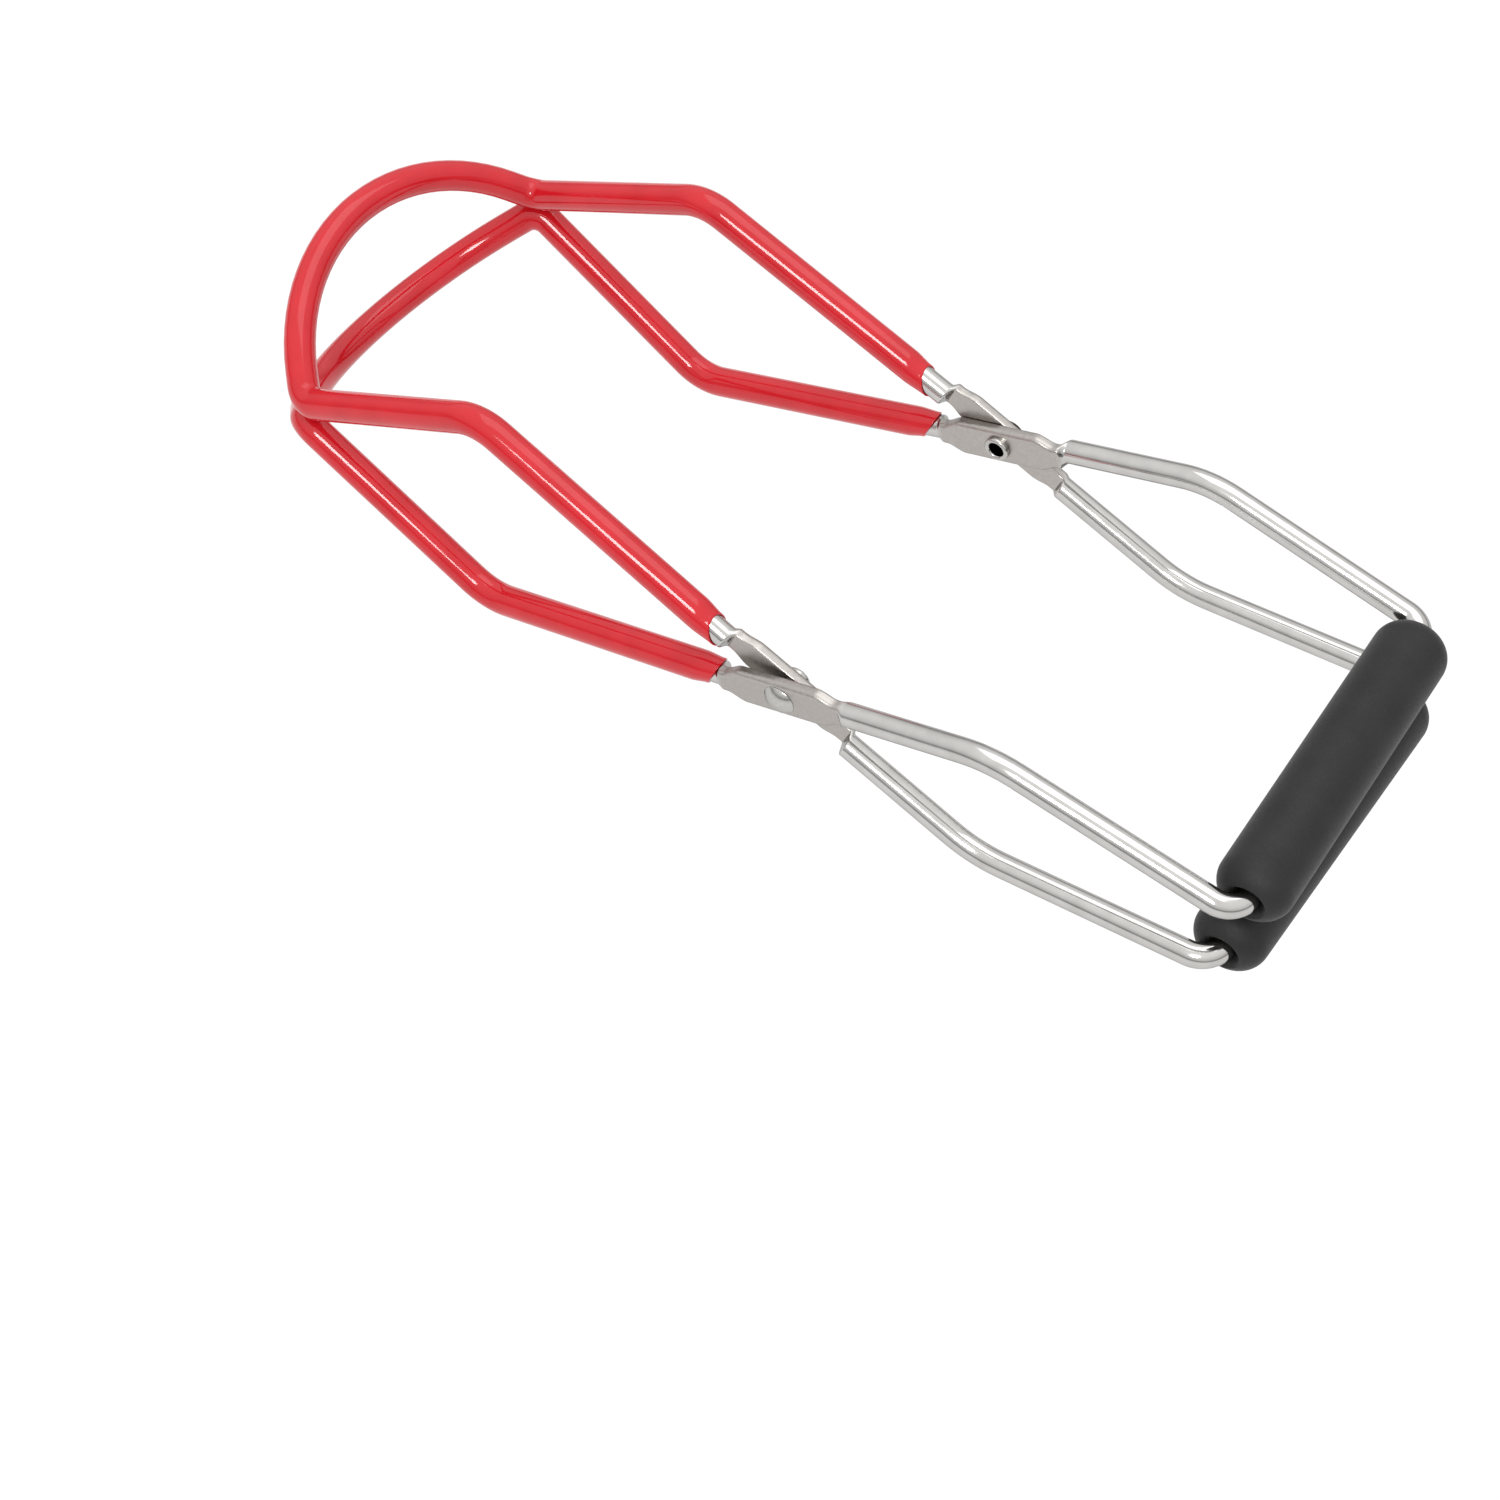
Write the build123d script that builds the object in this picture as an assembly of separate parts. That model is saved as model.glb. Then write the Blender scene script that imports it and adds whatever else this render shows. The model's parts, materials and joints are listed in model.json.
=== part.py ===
"""Canning jar lifter: two crossed wire frames on two rivets, sleeved jaws, two turning grips.

Frame: +X runs from the jaws to the handles, +Y along the pivot axis, +Z up.
The tool is closed, with its mirror plane level. The origin is below the middle of the
tool's footprint, level with its lowest point. Lengths are in millimetres, angles in degrees.

Every shape below is first laid out about the pivot axis, and moved to the origin at the end.
"upper" frame: upper handle and lower jaw. "lower" frame: lower handle and upper jaw.
"""
from build123d import *
import os
from math import atan, cos, degrees, radians, sin, tan

# ---- wire, sleeve and grip sections ----
WIRE_D = 5.0
SLEEVE_D = 6.6
SLEEVE_WALL = 0.75
GRIP_D = 15.0
GRIP_BORE_D = 6.4

# ---- side view, measured from the pivot axis ----
ARM_ANGLE = 19.7          # slope of each straight arm, which crosses the pivot
JAW_ARM = 79.7            # pivot axis to the bend in the jaw arm
HANDLE_ARM = 47.6         # pivot axis to the bend in the handle arm
JAW_REACH = 121.4         # pivot axis to the corner where the hoop starts
HANDLE_REACH = 95.8       # pivot axis to the middle of the bar inside the grip
BAR_SKEW = 0.7            # the upper bar's near corner is this much further out, the lower's nearer
GRIP_SPREAD = 17.5        # between the two grips' centres, closed
JAW_CORNER_Z = 2.45       # closed, to the corner's sharp point, before its bend takes that off

# ---- top view, half spans between the two sides' wire centrelines ----
HANDLE_ROOT_HALF = 40.75  # where the handle wire leaves its plate
HANDLE_BEND_HALF = 40.9
JAW_ROOT_HALF = 39.85     # where the jaw wire leaves its plate
JAW_BEND_HALF = 38.25
JAW_CORNER_HALF = 39.1
SPAN_DIFFERENCE = 0.35    # the upper frame's half spans are this much more, the lower's less

# ---- hoop: one arc between two short straight legs, in a plane tilted out of the jaws ----
HOOP_TILT = 41.2
HOOP_LEG_ANGLE = 53.0
HOOP_R = 43.5

# ---- bend radii on the wire's centreline ----
HANDLE_BEND_R = 24.0
GRIP_BEND_R = 5.0
JAW_BEND_R = 12.0
JAW_CORNER_R = 5.0

# ---- flattened pivot plates and rivets ----
PLATE_HALF_LENGTH = 14.7
PLATE_NECK_HALF_HEIGHT = 2.5
PLATE_NECK_LENGTH = 1.6   # at each end, before the plate flares out
PLATE_FLARE_LENGTH = 4.6
PLATE_FLARE_R = 4.0
PLATE_T = 2.4
PLATE_RIM_R = 1.0
SHANK_D = 4.4
RUNNING_CLEARANCE = 0.05  # radial, and below a head on the frame that turns
HEAD_D = 6.8
HEAD_H = 1.5
CLENCH_D = 5.6
CLENCH_H = 1.1
CLENCH_HOLE_D = 3.4
CLENCH_HOLE_DEPTH = 3.4

# ---- lengths along the wire ----
LOWER_SLEEVE_STARTS = (17.1, 18.1)  # pivot axis to the middles of the lower jaw sleeve's near and far ends
UPPER_SLEEVE_STARTS = (18.0, 20.1)  # pivot axis to the middles of the upper jaw sleeve's near and far ends
SLEEVE_CUT_ANGLE = 36.0   # of each end, off square: it is longer on the side facing the other arm
GRIP_LENGTH = 73.4
GRIP_END_R = 5.2
GRIP_MOUTH_D = 8.4
GRIP_MOUTH_DEPTH = 2.0
WIRE_BUTT_GAP = 0.4       # between the wire's two ends, inside the grip

UPPER = 1
LOWER = -1
NEAR = -1
FAR = 1

# ---- what differs between the sides or the frames ----
PIVOT_HALVES = {NEAR: 39.8, FAR: 40.1}         # middle plane to between the two frames' plates
PLATE_GAPS = {NEAR: 1.0, FAR: 0.1}             # the near rivet is loose
PLATE_HALF_HEIGHTS = {UPPER: 4.2, LOWER: 3.7}
GRIP_BAR_HALVES = {UPPER: 39.8, LOWER: 40.2}
GRIP_OFFSETS = {UPPER: -0.15, LOWER: -0.8}     # of each grip's middle along its bar


def frame_point(x, half_span, z, side, frame):
    """A point on one side of one frame; z is given for the upper frame."""
    return Vector(x, side * half_span, frame * z)


def bend_span(half_span, frame):
    """One frame's half span, from the two frames' mean."""
    return half_span + frame * SPAN_DIFFERENCE


def arm_point(distance, half_span, side, frame):
    """A point on the straight arm: positive distances on the handle side, negative on the jaw side."""
    x = distance * cos(radians(ARM_ANGLE))
    z = distance * sin(radians(ARM_ANGLE))
    return frame_point(x, bend_span(half_span, frame), z, side, frame)


def round_bar(path, diameter):
    """A round bar swept along a smooth path."""
    return sweep(Plane(path @ 0, z_dir=path % 0) * Circle(diameter / 2), path=path)


def bar_point(half_span, side, frame):
    """A point on the slightly skewed bar inside a frame's grip."""
    skew = BAR_SKEW * half_span / GRIP_BAR_HALVES[frame]
    return frame_point(HANDLE_REACH - side * frame * skew, half_span, GRIP_SPREAD / 2, side, frame)


def handle_path(side, frame):
    """From inside the grip, round its bend and along the handle arm to the pivot plate."""
    return FilletPolyline(
        bar_point(WIRE_BUTT_GAP / 2, side, frame),
        bar_point(GRIP_BAR_HALVES[frame], side, frame),
        arm_point(HANDLE_ARM, HANDLE_BEND_HALF, side, frame),
        arm_point(PLATE_HALF_LENGTH, HANDLE_ROOT_HALF, side, frame),
        radius=[GRIP_BEND_R, HANDLE_BEND_R],
    )


def jaw_arm_point(distance, side, frame):
    """A point on the jaw arm, whose half span narrows steadily from the plate to the bend."""
    slant = (JAW_ROOT_HALF - JAW_BEND_HALF) / (JAW_ARM - PLATE_HALF_LENGTH)
    half_span = JAW_ROOT_HALF - slant * (distance - PLATE_HALF_LENGTH)
    return arm_point(-distance, half_span, side, frame)


def jaw_path(near_start, far_start, frame):
    """From the near arm at its start distance, round the hoop, to the far arm at its own."""
    corner_half = bend_span(JAW_CORNER_HALF, frame)
    peak = corner_half * tan(radians(HOOP_LEG_ANGLE))
    peak_x = -JAW_REACH - peak * cos(radians(HOOP_TILT))
    peak_z = -JAW_CORNER_Z - peak * sin(radians(HOOP_TILT))

    def run(start, side):
        return [
            jaw_arm_point(start, side, frame),
            jaw_arm_point(JAW_ARM, side, frame),
            frame_point(-JAW_REACH, corner_half, -JAW_CORNER_Z, side, frame),
        ]

    peak_point = frame_point(peak_x, 0, peak_z, NEAR, frame)
    corners = run(near_start, NEAR) + [peak_point] + run(far_start, FAR)[::-1]
    return FilletPolyline(*corners, radius=[JAW_BEND_R, JAW_CORNER_R, HOOP_R, JAW_CORNER_R, JAW_BEND_R])


def pivot_plate(side, frame):
    """The flattened stretch of wire at one pivot, with its rivet hole.

    The upper frame's plates fill the -Y half of the wire's thickness, the lower frame's the +Y half.
    """
    length = PLATE_HALF_LENGTH + WIRE_D / 10
    neck = PLATE_HALF_LENGTH - PLATE_NECK_LENGTH
    flat = neck - PLATE_FLARE_LENGTH
    half_height = PLATE_HALF_HEIGHTS[frame]
    top = FilletPolyline(
        (-length, PLATE_NECK_HALF_HEIGHT),
        (-neck, PLATE_NECK_HALF_HEIGHT),
        (-flat, half_height),
        (flat, half_height),
        (neck, PLATE_NECK_HALF_HEIGHT),
        (length, PLATE_NECK_HALF_HEIGHT),
        radius=PLATE_FLARE_R,
    )
    bottom = top.mirror(Plane.XZ)
    ends = [Line(top @ 0, bottom @ 0), Line(top @ 1, bottom @ 1)]
    outline = make_face(Curve() + [top, bottom, *ends])
    blank = extrude(outline, PLATE_T)
    rim = blank.faces().sort_by(Axis.Z)[-1].edges()
    blank = fillet(rim, PLATE_RIM_R)
    blank -= Cylinder(SHANK_D / 2 + RUNNING_CLEARANCE, 3 * PLATE_T)
    mating_y = side * PIVOT_HALVES[side] - frame * PLATE_GAPS[side] / 2
    x_dir = Vector(cos(radians(ARM_ANGLE)), 0, frame * sin(radians(ARM_ANGLE)))
    return Plane(origin=(0, mating_y, 0), x_dir=x_dir, z_dir=(0, -frame, 0)) * blank


def wire_frame(frame):
    """One bent wire with its two pivot plates."""
    body = round_bar(jaw_path(PLATE_HALF_LENGTH, PLATE_HALF_LENGTH, frame), WIRE_D)
    for side in (NEAR, FAR):
        body += round_bar(handle_path(side, frame), WIRE_D)
        body += pivot_plate(side, frame)
    return body


def sleeve_end_cut(start, side, frame):
    """What is cut off a sleeve to leave its slanted end, whose centre is at start."""
    angle = radians(ARM_ANGLE - SLEEVE_CUT_ANGLE)
    slant = Vector(cos(angle), 0, frame * sin(angle))
    cut_plane = Plane(origin=jaw_arm_point(start, side, frame), x_dir=(0, 1, 0), z_dir=slant)
    depth = 2 * SLEEVE_D
    return cut_plane * Pos(0, 0, depth / 2) * Box(2 * SLEEVE_D, 2 * SLEEVE_D, depth)


def jaw_sleeve(frame, starts):
    """The vinyl tube on one jaw, with slanted ends and an open bore for the wire."""
    overlong = SLEEVE_D * tan(radians(SLEEVE_CUT_ANGLE)) / 2 + 0.5
    path = jaw_path(starts[0] - overlong, starts[1] - overlong, frame)
    sleeve = round_bar(path, SLEEVE_D) - round_bar(path, SLEEVE_D - 2 * SLEEVE_WALL)
    for side, start in zip((NEAR, FAR), starts):
        sleeve -= sleeve_end_cut(start, side, frame)
    return sleeve


def grip():
    """A soft tube grip about the Y axis, with domed ends and a flared bore."""
    half = GRIP_LENGTH / 2
    body = Rot(90, 0, 0) * Cylinder(GRIP_D / 2, GRIP_LENGTH)
    body = fillet(body.edges().filter_by(GeomType.CIRCLE), GRIP_END_R)
    body -= Rot(90, 0, 0) * Cylinder(GRIP_BORE_D / 2, 2 * GRIP_LENGTH)
    for side in (NEAR, FAR):
        flare = Rot(-90 * side, 0, 0) * Cone(GRIP_BORE_D / 2, GRIP_MOUTH_D / 2, GRIP_MOUTH_DEPTH)
        body -= Pos(0, side * (half - GRIP_MOUTH_DEPTH / 2), 0) * flare
    return body


def placed_grip(frame):
    """One grip on its frame's bar."""
    skew = degrees(atan(BAR_SKEW / GRIP_BAR_HALVES[frame]))
    bar_middle = Pos(HANDLE_REACH, 0, frame * GRIP_SPREAD / 2)
    return bar_middle * Rot(0, 0, frame * skew) * Pos(0, GRIP_OFFSETS[frame], 0) * grip()


def pivot_rivet(side):
    """A semi-tubular rivet through one pair of plates: head outside, rolled clench inside.

    Along its own axis, z = 0 is between the plates and the head is on the positive side.
    """
    stack = PLATE_T + PLATE_GAPS[side] / 2 + RUNNING_CLEARANCE
    dome_r = ((HEAD_D / 2) ** 2 + HEAD_H**2) / (2 * HEAD_H)
    dome = Pos(0, 0, stack + HEAD_H - dome_r) * Sphere(dome_r)
    head = dome & Pos(0, 0, stack + HEAD_H / 2) * Cylinder(HEAD_D, HEAD_H)
    shank = Cylinder(SHANK_D / 2, 2 * stack + CLENCH_H)
    clench = Pos(0, 0, -stack - CLENCH_H / 2) * Cylinder(CLENCH_D / 2, CLENCH_H)
    clench = fillet(clench.edges().filter_by(GeomType.CIRCLE), CLENCH_H * 0.45)
    hole_middle = -stack - CLENCH_H + CLENCH_HOLE_DEPTH / 2
    body = shank + head + clench
    body -= Pos(0, 0, hole_middle) * Cylinder(CLENCH_HOLE_D / 2, CLENCH_HOLE_DEPTH)
    return Plane(origin=(0, side * PIVOT_HALVES[side], 0), x_dir=(1, 0, 0), z_dir=(0, side, 0)) * body


def all_nodes():
    """Every separate piece of the tool, laid out about the pivot axis."""
    return {
        "upper_handle_frame": wire_frame(UPPER),
        "lower_handle_frame": wire_frame(LOWER),
        "lower_jaw_sleeve": jaw_sleeve(UPPER, LOWER_SLEEVE_STARTS),
        "upper_jaw_sleeve": jaw_sleeve(LOWER, UPPER_SLEEVE_STARTS),
        "upper_grip": placed_grip(UPPER),
        "lower_grip": placed_grip(LOWER),
        "near_pivot_rivet": pivot_rivet(NEAR),
        "far_pivot_rivet": pivot_rivet(FAR),
    }


nodes = all_nodes()
box = Compound(list(nodes.values())).bounding_box()
to_origin = Pos(-box.center().X, -box.center().Y, -box.min.Z)
os.makedirs("parts", exist_ok=True)
for name, shape in nodes.items():
    export_step(to_origin * shape, f"parts/{name}.step")
pivot = (round(-box.center().X, 3), round(-box.center().Y, 3), round(-box.min.Z, 3))
print("pivot axis through", pivot, "size", box.size)
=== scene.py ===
"""Looks of the canning jar lifter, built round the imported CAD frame.

Shapes are laid out in millimetres about the pivot axis, as in the CAD, and moved into the
row frame in metres. "upper" frame: upper handle and lower jaw, frame sign +1.
"lower" frame: lower handle and upper jaw, frame sign -1.
"""

import json
import math

import bpy
import numpy as np
from mathutils import Matrix, Vector


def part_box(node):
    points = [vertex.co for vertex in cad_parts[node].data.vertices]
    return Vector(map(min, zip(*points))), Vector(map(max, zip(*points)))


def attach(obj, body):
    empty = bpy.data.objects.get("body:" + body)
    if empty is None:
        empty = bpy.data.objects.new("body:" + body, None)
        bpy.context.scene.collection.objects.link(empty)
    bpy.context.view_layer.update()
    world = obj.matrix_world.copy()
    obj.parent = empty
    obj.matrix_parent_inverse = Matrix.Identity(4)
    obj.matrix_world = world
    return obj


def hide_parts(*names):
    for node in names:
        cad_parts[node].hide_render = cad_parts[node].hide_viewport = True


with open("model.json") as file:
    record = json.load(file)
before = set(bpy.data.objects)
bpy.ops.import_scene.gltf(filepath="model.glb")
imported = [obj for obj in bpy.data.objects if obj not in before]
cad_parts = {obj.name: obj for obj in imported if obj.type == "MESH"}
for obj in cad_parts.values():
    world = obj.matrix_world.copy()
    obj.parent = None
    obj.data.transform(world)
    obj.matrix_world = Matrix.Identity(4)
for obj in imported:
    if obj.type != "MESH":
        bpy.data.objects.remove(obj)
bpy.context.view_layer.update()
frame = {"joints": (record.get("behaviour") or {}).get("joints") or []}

MM = 0.001
UPPER = 1
LOWER = -1
NEAR = -1
FAR = 1


def joint_place(name):
    """Where a joint's axis is, in the row frame."""
    return np.array(next(j["pos_m"] for j in frame["joints"] if j["name"] == name))


def box_size(node):
    """A CAD node's size along each axis, in millimetres."""
    low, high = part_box(node)
    return np.array(high - low) / MM


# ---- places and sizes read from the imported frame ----
PIVOT = joint_place("jaw_pivot")
HANDLE_REACH, _, GRIP_HALF_SPREAD = (joint_place("upper_grip_turn") - PIVOT) / MM
GRIP_R = box_size("upper_grip")[2] / 2
HEAD_R = box_size("near_pivot_rivet")[0] / 2

# ---- the wire's bends, as in the CAD ----
WIRE_R = 2.5
ARM_ANGLE = 19.7
JAW_ARM = 79.7
HANDLE_ARM = 47.6
JAW_REACH = 121.4
JAW_CORNER_Z = 2.45
BAR_SKEW = 0.7
GRIP_BAR_HALVES = {UPPER: 39.8, LOWER: 40.2}
HANDLE_ROOT_HALF = 40.75
HANDLE_BEND_HALF = 40.9
JAW_ROOT_HALF = 39.85
JAW_BEND_HALF = 38.25
JAW_CORNER_HALF = 39.1
SPAN_DIFFERENCE = 0.35
HOOP_TILT = 41.2
HOOP_LEG_ANGLE = 53.0
HOOP_R = 43.5
HANDLE_BEND_R = 24.0
GRIP_BEND_R = 5.0
JAW_BEND_R = 12.0
JAW_CORNER_R = 5.0
WIRE_BUTT_GAP = 0.4

# ---- the forged pivot plates ----
PLATE_END = 14.7
PIVOT_HALVES = {NEAR: 39.8, FAR: 40.1}
PLATE_GAPS = {NEAR: 1.0, FAR: 0.1}
PLATE_HALF_HEIGHTS = {UPPER: 4.2, LOWER: 3.7}
NECK_HALF_HEIGHT = 2.6
FLARE_START = 9.0
FLARE_END = 13.6
PLATE_T = 2.4
OUTER_RIM_R = 1.05
INNER_RIM_R = 0.35
SHOULDER_START = 14.3
SHOULDER_END = 15.6
RIVET_HOLE_R = 2.25

# ---- the vinyl sleeves, the grips and the rivets ----
SLEEVE_R = 3.3
SLEEVE_BORE_R = 2.55
LOWER_SLEEVE_STARTS = {NEAR: 17.1, FAR: 18.1}
UPPER_SLEEVE_STARTS = {NEAR: 18.0, FAR: 20.1}
SLEEVE_CUT_SLOPE = math.tan(math.radians(36))
SLEEVE_CUT_REACH = 9.0     # of the stretch that is sheared to slant its end
SLEEVE_TAPER = 0.4
SLEEVE_TAPER_LENGTH = 5.0
GRIP_LENGTH = 73.4
GRIP_OFFSETS = {UPPER: -0.15, LOWER: -0.8}
GRIP_END_R = 5.2
GRIP_BORE_R = 3.2
GRIP_MOUTH_R = 4.05
GRIP_MOUTH_DEPTH = 2.0
SHANK_R = 2.2
HEAD_CLEARANCE = 0.05
HEAD_H = 1.5
CLENCH_R = 2.8
CLENCH_H = 1.1
CLENCH_HOLE_R = 1.7
CLENCH_HOLE_DEPTH = 3.4
HOLE_RIM = 0.15            # from the clench's roll to where the painted shade in the hole stops

# ---- mesh detail ----
RING_POINTS = 64
RUN_STEP = 2.0
ARC_STEP = 4.0
PLATE_STEP = 0.6
FLARE_STEP = 0.22
SLEEVE_END_STEP = 0.5
SLEEVE_END_COUNT = 20
CORNER_POINTS = 13         # round each corner of a wire's section
LIP_POINTS = 9
TUBE_ROUNDS = 96
RIVET_ROUNDS = 64
DRILL_REACH = 60.0
AXIS_R = 0.0001            # as good as on the axis of a turned piece
SHARP_ANGLE = math.radians(50)

# ---- the camera, about the pivot's centre ----
CAMERA_AZIMUTH = 32.73
CAMERA_ELEVATION = 54.57
CAMERA_ROLL = 2.54
CAMERA_DISTANCE = 521.14
CAMERA_RIGHT = -28.19
CAMERA_UP = -39.05
FOCAL_SHARE = 1.73678      # focal length as a share of the picture's width

# ---- the studio, in metres ----
FLOOR_DROP = 0.13          # below the tool, so that the opened jaw doesn't meet the floor
FLOOR_REACH = 6.0
FLOOR_TONE = (0.30, 0.30, 0.30, 1)
FLOOR_GLOW = 0.62
SKY_STRENGTH = 1.25
SKY_LEVELS = ((0.0, 0.32), (0.10, 0.30), (0.26, 0.66), (0.60, 0.88), (1.0, 1.0))
SOFTBOXES = (              # name, azimuth, elevation, distance, size, radiance
    ("overhead", 200, 75, 1.1, 0.9, 1.2),
    ("key", 11, 43, 1.2, 0.32, 18),
)


# ------------------------------------------------------------------ paths

class Path:
    """Straight runs joined by tangent arcs, with the place and direction at any distance along it."""

    def __init__(self, corners, radii):
        self.legs = []
        self.corner_distances = [0.0]
        self.length = 0.0
        corners = [np.array(c, float) for c in corners]
        start = corners[0]
        for i, radius in enumerate(radii, 1):
            into = unit(corners[i] - corners[i - 1])
            out = unit(corners[i + 1] - corners[i])
            turn = math.acos(np.clip(into @ out, -1, 1))
            cut = radius * math.tan(turn / 2)
            bend_start = corners[i] - into * cut
            self.add_run(start, bend_start)
            if radius > 0:
                inward = unit(out - into * (into @ out))
                self.add_arc(bend_start, into, inward, radius, turn)
            self.corner_distances.append(self.length - radius * turn / 2)
            start = corners[i] + out * cut
        self.add_run(start, corners[-1])

    def add_run(self, start, end):
        """Adds a straight leg. A leg says its kind, its distance from the start and its length."""
        length = np.linalg.norm(end - start)
        self.legs.append(("run", self.length, length, start, unit(end - start), None, None))
        self.length += length

    def add_arc(self, start, into, inward, radius, turn):
        """Adds a leg that turns from the direction into towards the direction inward."""
        self.legs.append(("arc", self.length, radius * turn, start, into, inward, radius))
        self.length += radius * turn

    def at(self, distance):
        """(point, direction) at a distance from the start."""
        leg = next((g for g in self.legs if distance <= g[1] + g[2]), self.legs[-1])
        kind, begin, _, start, into, inward, radius = leg
        along = distance - begin
        if kind == "run":
            return start + into * along, into
        angle = along / radius
        centre = start + inward * radius
        point = centre - inward * radius * math.cos(angle) + into * radius * math.sin(angle)
        return point, into * math.cos(angle) + inward * math.sin(angle)

    def stations(self):
        """Distances close enough together to follow every run and arc."""
        found = [0.0]
        for kind, begin, length, _, _, _, radius in self.legs:
            step = RUN_STEP if kind == "run" else radius * math.radians(ARC_STEP)
            count = max(1, math.ceil(length / step))
            found.extend(begin + length * k / count for k in range(1, count + 1))
        return found


def unit(v):
    """The direction of a vector, with length 1."""
    return v / np.linalg.norm(v)


def arm_point(distance, half_span, side):
    """A point on the near straight arm, on the handle side where distance is positive."""
    angle = math.radians(ARM_ANGLE)
    span = half_span + side * SPAN_DIFFERENCE
    return distance * math.cos(angle), -span, side * distance * math.sin(angle)


def bar_point(half_span, side, half):
    """A point on the slightly skewed bar inside a grip, laid out on the near side."""
    skew = BAR_SKEW * half_span / GRIP_BAR_HALVES[side]
    return HANDLE_REACH - half * side * skew, -half_span, side * GRIP_HALF_SPREAD


def half_wire_path(side, half):
    """One half of a frame's wire, from inside its grip to the top of its hoop.

    The far half is laid out on the near side too, and mirrored later.
    The path also says how far along it the pivot axis and the hoop's top are.
    """
    corner_half = JAW_CORNER_HALF + side * SPAN_DIFFERENCE
    peak = corner_half * math.tan(math.radians(HOOP_LEG_ANGLE))
    peak_x = -JAW_REACH - peak * math.cos(math.radians(HOOP_TILT))
    peak_z = side * (-JAW_CORNER_Z - peak * math.sin(math.radians(HOOP_TILT)))
    corners = [
        bar_point(WIRE_BUTT_GAP / 2, side, half),
        bar_point(GRIP_BAR_HALVES[side], side, half),
        arm_point(HANDLE_ARM, HANDLE_BEND_HALF, side),
        arm_point(PLATE_END, HANDLE_ROOT_HALF, side),
        arm_point(-PLATE_END, JAW_ROOT_HALF, side),
        arm_point(-JAW_ARM, JAW_BEND_HALF, side),
        (-JAW_REACH, -corner_half, -side * JAW_CORNER_Z),
        (peak_x, 0, peak_z),
        (-JAW_REACH, corner_half, -side * JAW_CORNER_Z),
    ]
    path = Path(corners, [GRIP_BEND_R, HANDLE_BEND_R, 0, 0, JAW_BEND_R, JAW_CORNER_R, HOOP_R])
    path.pivot = (path.corner_distances[3] + path.corner_distances[4]) / 2
    path.half_length = path.corner_distances[7]
    return path


def carried_axes(path, distances, pivot):
    """Points, directions and side axes along a path. The side axis is +Y at the pivot."""
    places = [path.at(d) for d in distances]
    points = np.array([p for p, _ in places])
    directions = np.array([t for _, t in places])
    sides = np.zeros_like(points)
    middle = int(np.argmin(np.abs(np.array(distances) - pivot)))
    for order in (range(middle, len(points)), range(middle, -1, -1)):
        side = np.array((0.0, 1.0, 0.0))
        for i in order:
            side = unit(side - directions[i] * (side @ directions[i]))
            sides[i] = side
    return points, directions, sides


# ------------------------------------------------------------------ sections

def smooth(low, high, x):
    """0 below low, 1 above high, and a smooth step between."""
    t = min(1.0, max(0.0, (x - low) / (high - low)))
    return t * t * (3 - 2 * t)


def rounded_section(low, high, half_height, low_r, high_r):
    """Evenly spaced points round a rounded rectangle, from the middle of its high side.

    low and high are its limits along the side axis, and low_r and high_r its corner radii there.
    """
    corners = [
        (high - high_r, half_height - high_r, high_r, 0),
        (low + low_r, half_height - low_r, low_r, 90),
        (low + low_r, low_r - half_height, low_r, 180),
        (high - high_r, high_r - half_height, high_r, 270),
    ]
    outline = [(high, 0.0)]
    for u, v, radius, first in corners:
        for a in np.radians(np.linspace(first, first + 90, CORNER_POINTS)):
            outline.append((u + radius * math.cos(a), v + radius * math.sin(a)))
    outline.append((high, 0.0))
    outline = np.array(outline)
    steps = np.linalg.norm(np.diff(outline, axis=0), axis=1)
    travelled = np.concatenate([[0], np.cumsum(steps)])
    wanted = np.arange(RING_POINTS) / RING_POINTS * travelled[-1]
    return np.stack([np.interp(wanted, travelled, outline[:, k]) for k in (0, 1)], 1)


def wire_section(offset, axis_y, side, half):
    """A wire's section at a distance from the pivot axis, about its centreline at axis_y.

    The upper frame's near plate lies on the -Y side of the plane between the two plates. Its far
    plate does too, so it is on the +Y side of its half's layout, before that is mirrored.
    """
    d = abs(offset)
    if d >= SHOULDER_END:
        return rounded_section(-WIRE_R, WIRE_R, WIRE_R, WIRE_R, WIRE_R)
    plate_side = side * half
    shoulder = smooth(SHOULDER_START, SHOULDER_END, d)
    full_height = PLATE_HALF_HEIGHTS[side]
    height = full_height + (NECK_HALF_HEIGHT - full_height) * smooth(FLARE_START, FLARE_END, d)
    height += (WIRE_R - height) * shoulder
    mating = plate_side * (-PIVOT_HALVES[half] - axis_y) + PLATE_GAPS[half] / 2
    outer = mating + PLATE_T
    outer += (WIRE_R - outer) * shoulder
    inner = mating + (-WIRE_R - mating) * shoulder
    outer_r = OUTER_RIM_R + (WIRE_R - OUTER_RIM_R) * shoulder
    inner_r = INNER_RIM_R + (WIRE_R - INNER_RIM_R) * shoulder
    if plate_side > 0:
        return rounded_section(inner, outer, height, inner_r, outer_r)
    return rounded_section(-outer, -inner, height, outer_r, inner_r)


def half_rings(path, distances, section_at):
    """One ring of points at each distance, from section_at(distance, the centreline's y).

    A section's third column, if it has one, moves its points along the path.
    """
    points, directions, sides = carried_axes(path, distances, path.pivot)
    ups = np.cross(directions, sides)
    rings = []
    for distance, point, direction, side, up in zip(distances, points, directions, sides, ups):
        section = section_at(distance, point[1])
        ring = point + section[:, :1] * side + section[:, 1:2] * up
        if section.shape[1] > 2:
            ring += section[:, 2:] * direction
        rings.append(ring)
    return rings


def mirrored(ring):
    """A near half's ring, moved to the far side."""
    return ring * np.array((1.0, -1.0, 1.0))


# ------------------------------------------------------------------ meshes

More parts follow.
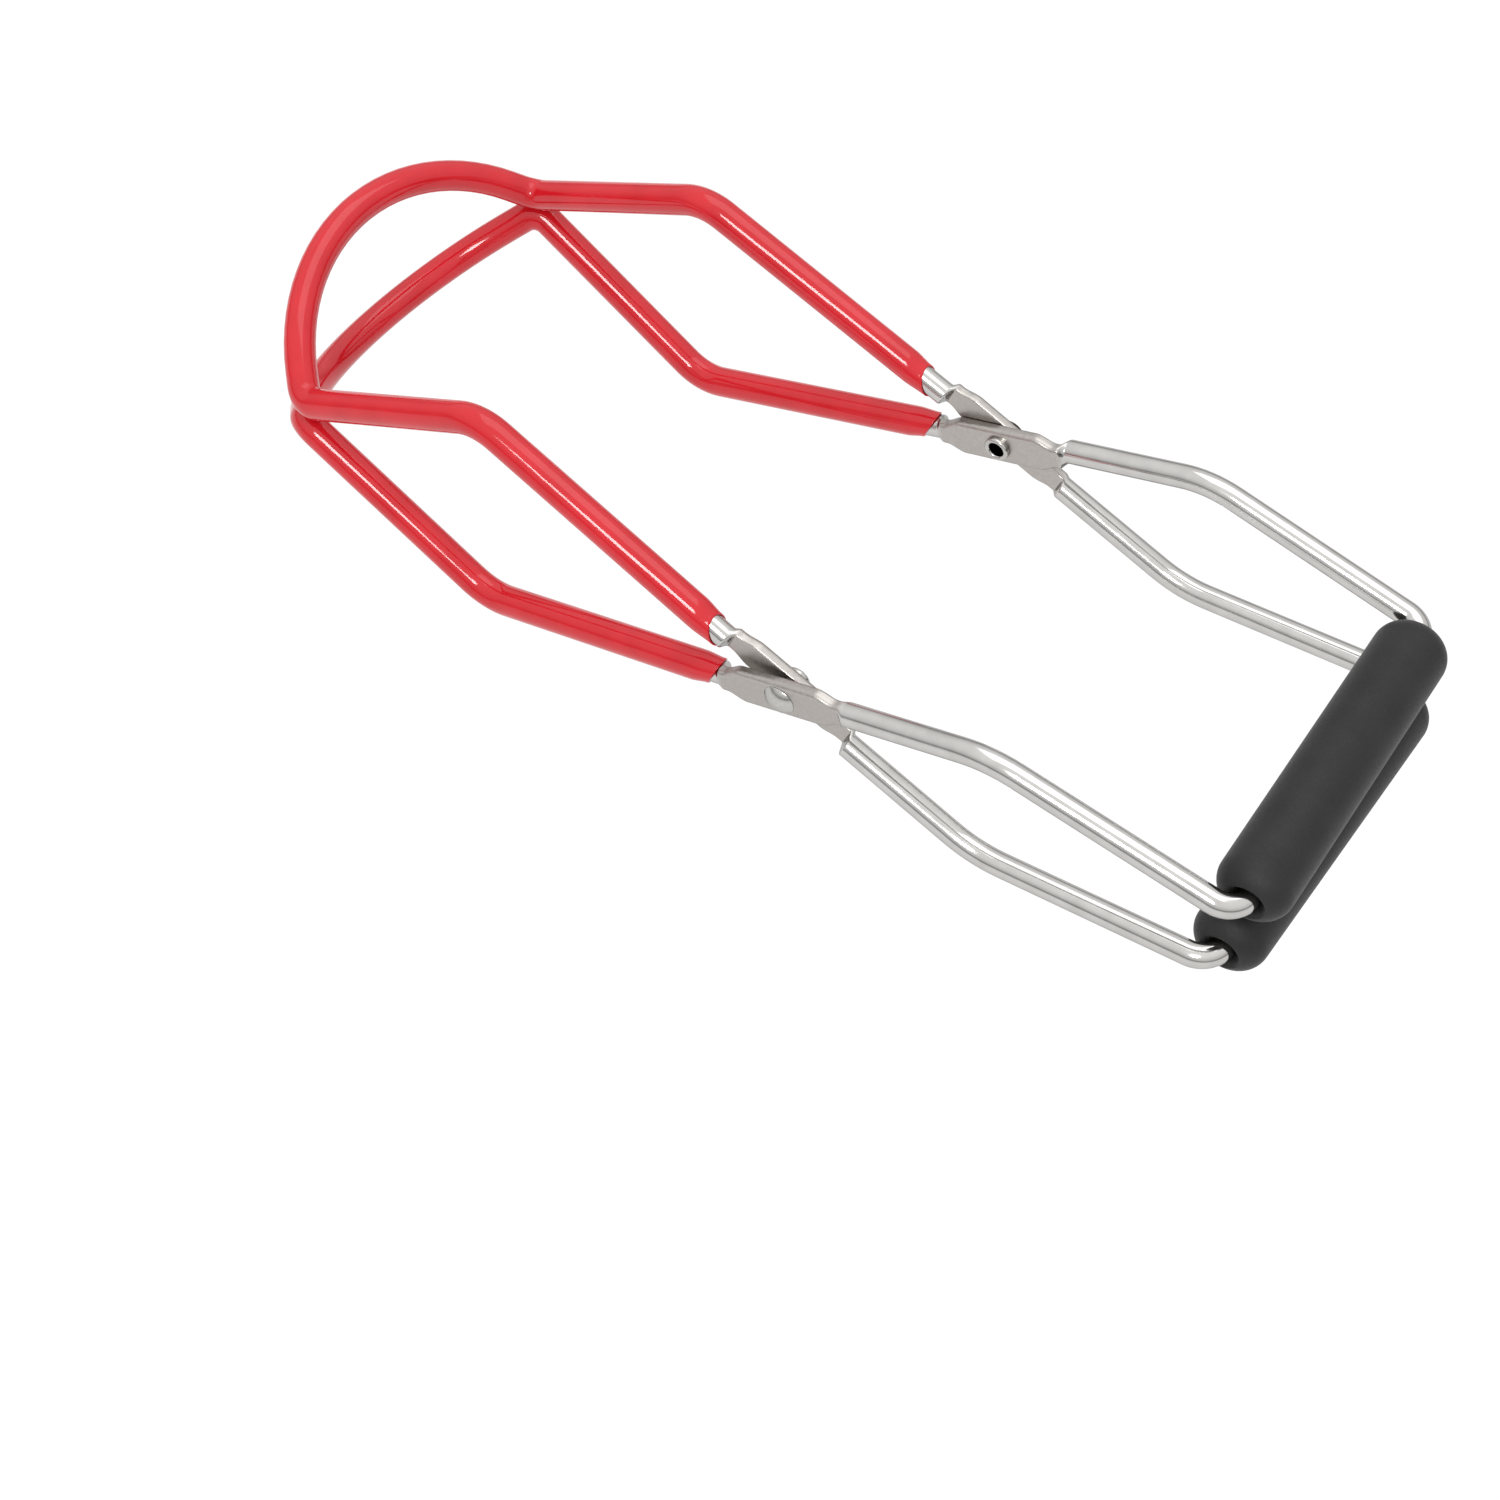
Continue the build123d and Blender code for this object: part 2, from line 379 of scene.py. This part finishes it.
def to_row(points):
    """From millimetres about the pivot axis to metres in the row frame."""
    return PIVOT + np.asarray(points) * MM


def skin_faces(ring_count, closed_ends):
    """Quads between neighbouring rings, with fans over both ends if they are closed."""
    faces = []
    k = RING_POINTS
    for r in range(ring_count - 1):
        for i in range(k):
            j = (i + 1) % k
            faces.append((r * k + i, r * k + j, (r + 1) * k + j, (r + 1) * k + i))
    if closed_ends:
        first = ring_count * k
        last = (ring_count - 1) * k
        for i in range(k):
            j = (i + 1) % k
            faces.append((first, j, i))
            faces.append((first + 1, last + i, last + j))
    return faces


def mesh_piece(name, points, faces, material, finish_and_shade=None):
    """A shaded piece from points in millimetres about the pivot axis.

    finish_and_shade, for a material that reads it, is one number from 0 to 1 for each point: on the
    wire it marks the pressed plates, on a rivet the painted shade down its hole.
    """
    mesh = bpy.data.meshes.new(name)
    mesh.from_pydata(to_row(points).tolist(), [], faces)
    if finish_and_shade is not None:
        layer = mesh.attributes.new("finish_and_shade", "FLOAT", "POINT")
        layer.data.foreach_set("value", np.asarray(finish_and_shade, np.float32))
    mesh.validate()
    mesh.polygons.foreach_set("use_smooth", [True] * len(mesh.polygons))
    mesh.materials.append(material)
    piece = bpy.data.objects.new(name, mesh)
    bpy.context.scene.collection.objects.link(piece)
    return piece


def turned(profile, rounds):
    """Points and faces turned about the Y axis. The profile is (radius, height along Y)."""
    angles = 2 * math.pi * np.arange(rounds) / rounds
    circle = np.stack([np.cos(angles), np.zeros(rounds), np.sin(angles)], 1)
    rings = [r * circle + np.array((0, y, 0)) for r, y in profile]
    faces = []
    for k in range(len(profile) - 1):
        for i in range(rounds):
            j = (i + 1) % rounds
            faces.append((k * rounds + i, k * rounds + j, (k + 1) * rounds + j, (k + 1) * rounds + i))
    return np.concatenate(rings), faces


def arc_profile(centre, radius, start, end, count):
    """Profile points on an arc. Angles are in degrees, from outwards towards the axis's +Y end."""
    angles = np.radians(np.linspace(start, end, count))
    return [(centre[0] + radius * math.cos(a), centre[1] + radius * math.sin(a)) for a in angles]


# ------------------------------------------------------------------ materials

# pairs of colours that each surface varies between
WIRE_TINTS = ((0.51, 0.50, 0.485), (0.57, 0.56, 0.545))
PLATE_TINTS = ((0.40, 0.375, 0.355), (0.46, 0.435, 0.41))
VINYL_TINTS = ((0.46, 0.005, 0.011), (0.51, 0.008, 0.016))
RUBBER_TINTS = ((0.010, 0.010, 0.010), (0.017, 0.017, 0.017))
RIVET_TINTS = ((0.45, 0.44, 0.42), (0.52, 0.51, 0.49))
# painted shade: a near-black colour down the rivet's clench hole, standing in for the hole's shadow
HOLE_SHADE_TINT = (0.03, 0.025, 0.02)
METAL_EDGE_TINT = (0.6, 0.6, 0.6, 1)


def new_material(name):
    """A material with its node tree, its shader and a link helper."""
    material = bpy.data.materials.new(name)
    material.use_nodes = True
    nodes = material.node_tree.nodes
    return material, nodes, nodes["Principled BSDF"], material.node_tree.links


def noise(nodes, links, scale, detail, stretch=(1, 1, 1), roughness=0.5):
    """A noise texture on object coordinates in metres, stretched along the axes."""
    place = nodes.new("ShaderNodeTexCoord")
    mapping = nodes.new("ShaderNodeMapping")
    mapping.inputs["Scale"].default_value = stretch
    texture = nodes.new("ShaderNodeTexNoise")
    texture.inputs["Scale"].default_value = scale
    texture.inputs["Detail"].default_value = detail
    texture.inputs["Roughness"].default_value = roughness
    links.new(place.outputs["Object"], mapping.inputs["Vector"])
    links.new(mapping.outputs["Vector"], texture.inputs["Vector"])
    return texture.outputs["Fac"]


def spread(nodes, links, value, low, high):
    """A noise value moved to the range from low to high."""
    node = nodes.new("ShaderNodeMapRange")
    node.inputs["From Min"].default_value = 0.3
    node.inputs["From Max"].default_value = 0.7
    node.inputs["To Min"].default_value = low
    node.inputs["To Max"].default_value = high
    links.new(value, node.inputs["Value"])
    return node.outputs["Result"]


def tinted(nodes, links, value, dark, light):
    """A colour between two, by a value from 0 to 1."""
    mix = nodes.new("ShaderNodeMix")
    mix.data_type = "RGBA"
    mix.inputs["A"].default_value = (*dark, 1)
    mix.inputs["B"].default_value = (*light, 1)
    links.new(value, mix.inputs["Factor"])
    return mix.outputs["Result"]


def bumped(nodes, links, heights):
    """A normal from several (height value, distance in metres, strength) bumps, one over another."""
    normal = None
    for height, distance, strength in heights:
        bump = nodes.new("ShaderNodeBump")
        bump.inputs["Strength"].default_value = strength
        bump.inputs["Distance"].default_value = distance
        links.new(height, bump.inputs["Height"])
        if normal is not None:
            links.new(normal, bump.inputs["Normal"])
        normal = bump.outputs["Normal"]
    return normal


def plated_wire_material():
    """Bright plated steel wire: faint drawing marks, and a duller pressed surface on the plates.

    The finish_and_shade attribute is 0 on the round wire and 1 on the plates.
    """
    material, nodes, shader, links = new_material("plated_wire")
    finish_and_shade = nodes.new("ShaderNodeAttribute")
    finish_and_shade.attribute_name = "finish_and_shade"
    cloudy = noise(nodes, links, 260, 3)
    fine = noise(nodes, links, 1500, 4)
    wire_tint = tinted(nodes, links, spread(nodes, links, cloudy, 0, 1), *WIRE_TINTS)
    plate_tint = tinted(nodes, links, spread(nodes, links, fine, 0, 1), *PLATE_TINTS)
    tint = nodes.new("ShaderNodeMix")
    tint.data_type = "RGBA"
    links.new(finish_and_shade.outputs["Fac"], tint.inputs["Factor"])
    links.new(wire_tint, tint.inputs["A"])
    links.new(plate_tint, tint.inputs["B"])
    links.new(tint.outputs["Result"], shader.inputs["Base Color"])
    wire_rough = spread(nodes, links, cloudy, 0.09, 0.15)
    plate_rough = spread(nodes, links, fine, 0.28, 0.38)
    rough = nodes.new("ShaderNodeMix")
    links.new(finish_and_shade.outputs["Fac"], rough.inputs["Factor"])
    links.new(wire_rough, rough.inputs["A"])
    links.new(plate_rough, rough.inputs["B"])
    links.new(rough.outputs["Result"], shader.inputs["Roughness"])
    normal = bumped(nodes, links, [(cloudy, 0.00004, 0.2), (fine, 0.00001, 0.2)])
    links.new(normal, shader.inputs["Normal"])
    shader.inputs["Metallic"].default_value = 1.0
    shader.inputs["Specular Tint"].default_value = METAL_EDGE_TINT
    return material


def red_vinyl_material():
    """Glossy dipped vinyl with a slow waviness and faint specks."""
    material, nodes, shader, links = new_material("red_vinyl")
    wavy = noise(nodes, links, 120, 1)
    speck = noise(nodes, links, 900, 3)
    tint = tinted(nodes, links, spread(nodes, links, wavy, 0, 1), *VINYL_TINTS)
    links.new(tint, shader.inputs["Base Color"])
    links.new(spread(nodes, links, speck, 0.07, 0.12), shader.inputs["Roughness"])
    normal = bumped(nodes, links, [(wavy, 0.0004, 0.1), (speck, 0.00001, 0.1)])
    links.new(normal, shader.inputs["Normal"])
    shader.inputs["IOR"].default_value = 1.5
    shader.inputs["Subsurface Weight"].default_value = 0.08
    shader.inputs["Subsurface Radius"].default_value = (1.0, 0.15, 0.1)
    shader.inputs["Subsurface Scale"].default_value = 0.0012
    return material


def black_grip_material():
    """Matt black moulded rubber with a fine grain and a few pale scuffs."""
    material, nodes, shader, links = new_material("black_grip")
    cloudy = noise(nodes, links, 90, 4)
    grain = noise(nodes, links, 2200, 3)
    tint = tinted(nodes, links, spread(nodes, links, cloudy, 0, 1), *RUBBER_TINTS)
    links.new(tint, shader.inputs["Base Color"])
    links.new(spread(nodes, links, grain, 0.52, 0.66), shader.inputs["Roughness"])
    normal = bumped(nodes, links, [(grain, 0.00004, 0.3), (cloudy, 0.0003, 0.1)])
    links.new(normal, shader.inputs["Normal"])
    shader.inputs["Specular IOR Level"].default_value = 0.3
    shader.inputs["Sheen Weight"].default_value = 0.05
    shader.inputs["Sheen Roughness"].default_value = 0.4
    return material


def rivet_material():
    """Bright plated rivet steel with fine polishing marks, and painted shade down its clench hole.

    The finish_and_shade attribute is 0 on the plated steel and 1 down the clench hole, where a
    near-black colour paints its shade.
    """
    material, nodes, shader, links = new_material("rivet_steel")
    finish_and_shade = nodes.new("ShaderNodeAttribute")
    finish_and_shade.attribute_name = "finish_and_shade"
    fine = noise(nodes, links, 1200, 3)
    tint = nodes.new("ShaderNodeMix")
    tint.data_type = "RGBA"
    links.new(finish_and_shade.outputs["Fac"], tint.inputs["Factor"])
    links.new(tinted(nodes, links, spread(nodes, links, fine, 0, 1), *RIVET_TINTS), tint.inputs["A"])
    # painted shade: the clench hole's colour is near-black in place of its shadow
    tint.inputs["B"].default_value = (*HOLE_SHADE_TINT, 1)
    links.new(tint.outputs["Result"], shader.inputs["Base Color"])
    links.new(spread(nodes, links, fine, 0.14, 0.24), shader.inputs["Roughness"])
    links.new(bumped(nodes, links, [(fine, 0.00002, 0.2)]), shader.inputs["Normal"])
    shader.inputs["Metallic"].default_value = 1.0
    shader.inputs["Specular Tint"].default_value = METAL_EDGE_TINT
    return material


# ------------------------------------------------------------------ pieces

def plate_stations(path):
    """Every station of a half wire, closer together along the plate and its shoulders."""
    fine_reach = SHOULDER_END + 1
    near = path.pivot - fine_reach
    far = path.pivot + fine_reach
    coarse = [s for s in path.stations() if s < near or far < s <= path.half_length]
    fine = []
    for low, high, step in (
        (-fine_reach, -FLARE_START, FLARE_STEP),
        (-FLARE_START, FLARE_START, PLATE_STEP),
        (FLARE_START, fine_reach, FLARE_STEP),
    ):
        count = math.ceil((high - low) / step)
        fine.extend(path.pivot + low + (high - low) * k / count for k in range(count))
    return sorted(coarse + fine + [far, path.half_length])


def half_wire(side, half):
    """The rings of one half of a frame's wire, and how flattened each one is, from 0 to 1."""
    path = half_wire_path(side, half)
    distances = plate_stations(path)

    def section_at(distance, axis_y):
        return wire_section(distance - path.pivot, axis_y, side, half)

    flatness = [
        1 - smooth(SHOULDER_START - 0.4, SHOULDER_END, abs(d - path.pivot)) for d in distances
    ]
    return half_rings(path, distances, section_at), flatness


def wire_frame(name, side, material):
    """One bent wire with its two forged plates, near half then far half."""
    near_rings, near_flatness = half_wire(side, NEAR)
    far_rings, far_flatness = half_wire(side, FAR)
    rings = near_rings + [mirrored(r) for r in far_rings[-2::-1]]
    flatness = near_flatness + far_flatness[-2::-1]
    ends = [rings[0].mean(0), rings[-1].mean(0)]
    points = np.concatenate(rings + [np.array(ends)])
    finish_and_shade = np.repeat(flatness, RING_POINTS).tolist() + [0, 0]
    piece = mesh_piece(name, points, skin_faces(len(rings), True), material, finish_and_shade)
    drill_pivots(piece)
    return piece


def drill_pivots(piece):
    """Cuts the two rivet holes through a frame's plates."""
    points, faces = turned([(RIVET_HOLE_R, -DRILL_REACH), (RIVET_HOLE_R, DRILL_REACH)], TUBE_ROUNDS)
    faces.append(tuple(range(TUBE_ROUNDS)))
    faces.append(tuple(range(2 * TUBE_ROUNDS - 1, TUBE_ROUNDS - 1, -1)))
    drill = mesh_piece("drill", points, faces, piece.data.materials[0])
    cut = piece.modifiers.new("rivet holes", "BOOLEAN")
    cut.operation = "DIFFERENCE"
    cut.solver = "EXACT"
    cut.object = drill
    depsgraph = bpy.context.evaluated_depsgraph_get()
    drilled = bpy.data.meshes.new_from_object(piece.evaluated_get(depsgraph))
    piece.modifiers.clear()
    old = piece.data
    piece.data = drilled
    bpy.data.meshes.remove(old)
    drilled.name = piece.name
    bpy.data.objects.remove(drill)
    drilled.set_sharp_from_angle(angle=SHARP_ANGLE)


def circle_section(radius):
    """Evenly spaced points round a circle, from the side axis."""
    angle = 2 * math.pi * np.arange(RING_POINTS) / RING_POINTS
    return radius * np.stack([np.cos(angle), np.sin(angle)], 1)


def half_sleeve(side, half, start):
    """(outside rings, bore rings, lip rings) of half a sleeve, from its end to the hoop's top.

    Its end is slanted, longer on the side facing the other arm, and hugs the wire.
    """
    path = half_wire_path(side, half)
    first = path.pivot + start
    distances = [first + SLEEVE_END_STEP * k for k in range(SLEEVE_END_COUNT)]
    distances += [s for s in path.stations() if distances[-1] + 0.2 < s < path.half_length]
    distances.append(path.half_length)

    def tube_section(distance, radius):
        circle = circle_section(radius)
        fade = 1 - max(0.0, distance - first) / SLEEVE_CUT_REACH
        shear = max(0.0, fade) * SLEEVE_CUT_SLOPE * side * circle[:, 1:]
        return np.concatenate([circle, shear], 1)

    def outer_radius(distance):
        return SLEEVE_R - SLEEVE_TAPER * (1 - smooth(0, SLEEVE_TAPER_LENGTH, distance - first))

    outside = half_rings(path, distances, lambda d, y: tube_section(d, outer_radius(d)))
    bore = half_rings(path, distances, lambda d, y: tube_section(d, SLEEVE_BORE_R))
    middle = (outer_radius(first) + SLEEVE_BORE_R) / 2
    half_wall = (outer_radius(first) - SLEEVE_BORE_R) / 2
    lips = []
    for turn in np.radians(np.linspace(0, 180, LIP_POINTS))[1:-1]:
        section = tube_section(first, middle + half_wall * math.cos(turn))
        place = first - half_wall * math.sin(turn)
        lips += half_rings(path, [place], lambda d, y: section)
    return outside, bore, lips


def jaw_sleeve(name, side, starts, material):
    """The vinyl tube on one jaw: outside, rounded lips and open bore."""
    near_outside, near_bore, near_lip = half_sleeve(side, NEAR, starts[NEAR])
    far_outside, far_bore, far_lip = half_sleeve(side, FAR, starts[FAR])
    rings = near_outside + [mirrored(r) for r in far_outside[-2::-1]]
    rings += [mirrored(r) for r in far_lip]
    rings += [mirrored(r) for r in far_bore[:-1]] + near_bore[::-1]
    rings += near_lip[::-1]
    count = len(rings) * RING_POINTS
    faces = [tuple(i % count for i in f) for f in skin_faces(len(rings) + 1, False)]
    return mesh_piece(name, np.concatenate(rings), faces, material)


def grip(name, side, material):
    """A tube grip with domed ends and a flared bore, turned about its skewed bar."""
    half = GRIP_LENGTH / 2
    dome = (GRIP_R - GRIP_END_R, half - GRIP_END_R)
    mouth_angle = math.degrees(math.acos((GRIP_MOUTH_R - dome[0]) / GRIP_END_R))
    end = arc_profile(dome, GRIP_END_R, 0, mouth_angle, 20)
    half_profile = [(GRIP_R, y) for y in np.linspace(0, dome[1], 16)[:-1]] + end
    half_profile.append((GRIP_BORE_R, half - GRIP_MOUTH_DEPTH))
    half_profile.append((GRIP_BORE_R, 0))
    profile = half_profile + [(r, -y) for r, y in half_profile[-2:0:-1]]
    points, faces = turned(profile + [profile[0]], TUBE_ROUNDS)
    count = len(profile) * TUBE_ROUNDS
    faces = [tuple(i % count for i in f) for f in faces]
    points = points[:count] + np.array((0, GRIP_OFFSETS[side], 0))
    skew = Matrix.Rotation(side * math.atan(BAR_SKEW / GRIP_BAR_HALVES[side]), 3, "Z")
    points = points @ np.array(skew).T + np.array((HANDLE_REACH, 0, side * GRIP_HALF_SPREAD))
    return mesh_piece(name, points, faces, material)


def rivet(name, half, material):
    """A semi-tubular rivet: domed head outside, shank, and rolled clench with its hole inside."""
    dome_r = (HEAD_R**2 + HEAD_H**2) / (2 * HEAD_H)
    edge = math.degrees(math.acos(HEAD_R / dome_r))
    stack = PLATE_T + PLATE_GAPS[half] / 2 + HEAD_CLEARANCE
    dome_centre = (0, stack + HEAD_H - dome_r)
    head = arc_profile(dome_centre, dome_r, edge, 90, 24)[:-1]
    head.append((AXIS_R, stack + HEAD_H))
    roll_r = (CLENCH_R - CLENCH_HOLE_R) / 2
    roll_centre = (CLENCH_HOLE_R + roll_r, -stack - CLENCH_H + roll_r)
    roll = arc_profile(roll_centre, roll_r, -180, 0, 16)
    hole_bottom = -stack - CLENCH_H + CLENCH_HOLE_DEPTH
    profile = [(AXIS_R, hole_bottom), (CLENCH_HOLE_R, hole_bottom)]
    profile.append((CLENCH_HOLE_R, roll_centre[1] + HOLE_RIM))
    hole_shade_points = len(profile)
    profile += roll
    profile += [(CLENCH_R, -stack), (SHANK_R, -stack), (SHANK_R, stack)]
    profile += [(HEAD_R, stack)] + head
    points, faces = turned(profile, RIVET_ROUNDS)
    points = (points + np.array((0, PIVOT_HALVES[half], 0))) * np.array((1, half, 1))
    # 1 on the clench hole's points, which the material paints with near-black shade
    finish_and_shade = [1.0 if k < hole_shade_points else 0.0 for k in range(len(profile))]
    finish_and_shade = np.repeat(finish_and_shade, RIVET_ROUNDS)
    piece = mesh_piece(name, points, faces, material, finish_and_shade)
    piece.data.set_sharp_from_angle(angle=SHARP_ANGLE)
    return piece


# ------------------------------------------------------------------ camera and studio

def add_camera():
    """The photograph's viewing angle, placed about the pivot's centre."""
    a = math.radians(CAMERA_AZIMUTH)
    e = math.radians(CAMERA_ELEVATION)
    back = np.array((math.sin(a) * math.cos(e), -math.cos(a) * math.cos(e), math.sin(e)))
    right = np.array((math.cos(a), math.sin(a), 0))
    up = np.cross(back, right)
    r = math.radians(CAMERA_ROLL)
    rolled_right = math.cos(r) * right + math.sin(r) * up
    rolled_up = -math.sin(r) * right + math.cos(r) * up
    data = bpy.data.cameras.new("camera")
    data.sensor_width = 36
    data.lens = 36 * FOCAL_SHARE
    camera = bpy.data.objects.new("camera", data)
    place = to_row(back * CAMERA_DISTANCE + right * CAMERA_RIGHT + up * CAMERA_UP)
    matrix = np.eye(4)
    matrix[:3, 0] = rolled_right
    matrix[:3, 1] = rolled_up
    matrix[:3, 2] = back
    matrix[:3, 3] = place
    bpy.context.scene.collection.objects.link(camera)
    camera.matrix_world = Matrix(matrix.tolist())
    bpy.context.scene.camera = camera


def softbox(name, azimuth, elevation, distance, size, radiance):
    """A square area light that faces the tool from a direction, with azimuth as the camera's."""
    data = bpy.data.lights.new(name, "AREA")
    data.size = size
    data.energy = radiance * math.pi * size**2
    light = bpy.data.objects.new(name, data)
    a = math.radians(azimuth)
    e = math.radians(elevation)
    back = Vector((math.sin(a) * math.cos(e), -math.cos(a) * math.cos(e), math.sin(e)))
    light.location = Vector(PIVOT) + back * distance
    light.rotation_mode = "QUATERNION"
    light.rotation_quaternion = (-back).to_track_quat("-Z", "Y")
    bpy.context.scene.collection.objects.link(light)


def studio_world():
    """A bright tent overhead that darkens towards the horizon, and plain white for the camera."""
    world = bpy.data.worlds.new("studio")
    world.use_nodes = True
    nodes = world.node_tree.nodes
    links = world.node_tree.links
    background = nodes["Background"]
    place = nodes.new("ShaderNodeTexCoord")
    split = nodes.new("ShaderNodeSeparateXYZ")
    ramp = nodes.new("ShaderNodeValToRGB")
    links.new(place.outputs["Generated"], split.inputs["Vector"])
    links.new(split.outputs["Z"], ramp.inputs["Fac"])
    stops = ramp.color_ramp.elements
    for position, _ in SKY_LEVELS[1:-1]:
        stops.new(position)
    for stop, (position, level) in zip(stops, SKY_LEVELS):
        stop.position = position
        stop.color = (level, level, level, 1)
    links.new(ramp.outputs["Color"], background.inputs["Color"])
    background.inputs["Strength"].default_value = SKY_STRENGTH
    white = nodes.new("ShaderNodeBackground")
    white.inputs["Color"].default_value = (1, 1, 1, 1)
    white.inputs["Strength"].default_value = 1.0
    seen = nodes.new("ShaderNodeLightPath")
    mix = nodes.new("ShaderNodeMixShader")
    links.new(seen.outputs["Is Camera Ray"], mix.inputs["Fac"])
    links.new(background.outputs["Background"], mix.inputs[1])
    links.new(white.outputs["Background"], mix.inputs[2])
    links.new(mix.outputs["Shader"], nodes["World Output"].inputs["Surface"])
    bpy.context.scene.world = world


def studio_floor():
    """A plain white floor, well below the tool, lit evenly like the photograph's white sweep."""
    material, _, shader, _ = new_material("studio_floor")
    shader.inputs["Base Color"].default_value = FLOOR_TONE
    shader.inputs["Roughness"].default_value = 0.9
    shader.inputs["Specular IOR Level"].default_value = 0.0
    shader.inputs["Emission Color"].default_value = (1, 1, 1, 1)
    shader.inputs["Emission Strength"].default_value = FLOOR_GLOW
    mesh = bpy.data.meshes.new("floor")
    corners = ((-1, -1), (1, -1), (1, 1), (-1, 1))
    points = [(x * FLOOR_REACH, y * FLOOR_REACH, -FLOOR_DROP) for x, y in corners]
    mesh.from_pydata(points, [], [(0, 1, 2, 3)])
    mesh.materials.append(material)
    floor = bpy.data.objects.new("floor", mesh)
    bpy.context.scene.collection.objects.link(floor)


# ------------------------------------------------------------------ the tool

plated_wire = plated_wire_material()
red_vinyl = red_vinyl_material()
black_grip = black_grip_material()
rivet_steel = rivet_material()

upper_wire = wire_frame("upper_wire", UPPER, plated_wire)
lower_wire = wire_frame("lower_wire", LOWER, plated_wire)
lower_jaw_vinyl = jaw_sleeve("lower_jaw_vinyl", UPPER, LOWER_SLEEVE_STARTS, red_vinyl)
upper_jaw_vinyl = jaw_sleeve("upper_jaw_vinyl", LOWER, UPPER_SLEEVE_STARTS, red_vinyl)
upper_grip = grip("upper_grip_rubber", UPPER, black_grip)
lower_grip = grip("lower_grip_rubber", LOWER, black_grip)
near_rivet = rivet("near_rivet", NEAR, rivet_steel)
far_rivet = rivet("far_rivet", FAR, rivet_steel)

# each piece, the body it rides on, the CAD node it stands in for, and its material slot
PIECES = [
    (upper_wire, "upper_handle_side", "upper_handle_frame", "plated_wire"),
    (lower_wire, "lower_handle_side", "lower_handle_frame", "plated_wire"),
    (lower_jaw_vinyl, "upper_handle_side", "lower_jaw_sleeve", "red_vinyl"),
    (upper_jaw_vinyl, "lower_handle_side", "upper_jaw_sleeve", "red_vinyl"),
    (upper_grip, "upper_grip_tube", "upper_grip", "black_grip"),
    (lower_grip, "lower_grip_tube", "lower_grip", "black_grip"),
    (near_rivet, "upper_handle_side", "near_pivot_rivet", "rivet_steel"),
    (far_rivet, "upper_handle_side", "far_pivot_rivet", "rivet_steel"),
]
for piece, body, node, slot in PIECES:
    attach(piece, body)
    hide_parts(node)

add_camera()
studio_world()
studio_floor()
for settings in SOFTBOXES:
    softbox(*settings)
bpy.context.scene.view_settings.view_transform = "Standard"
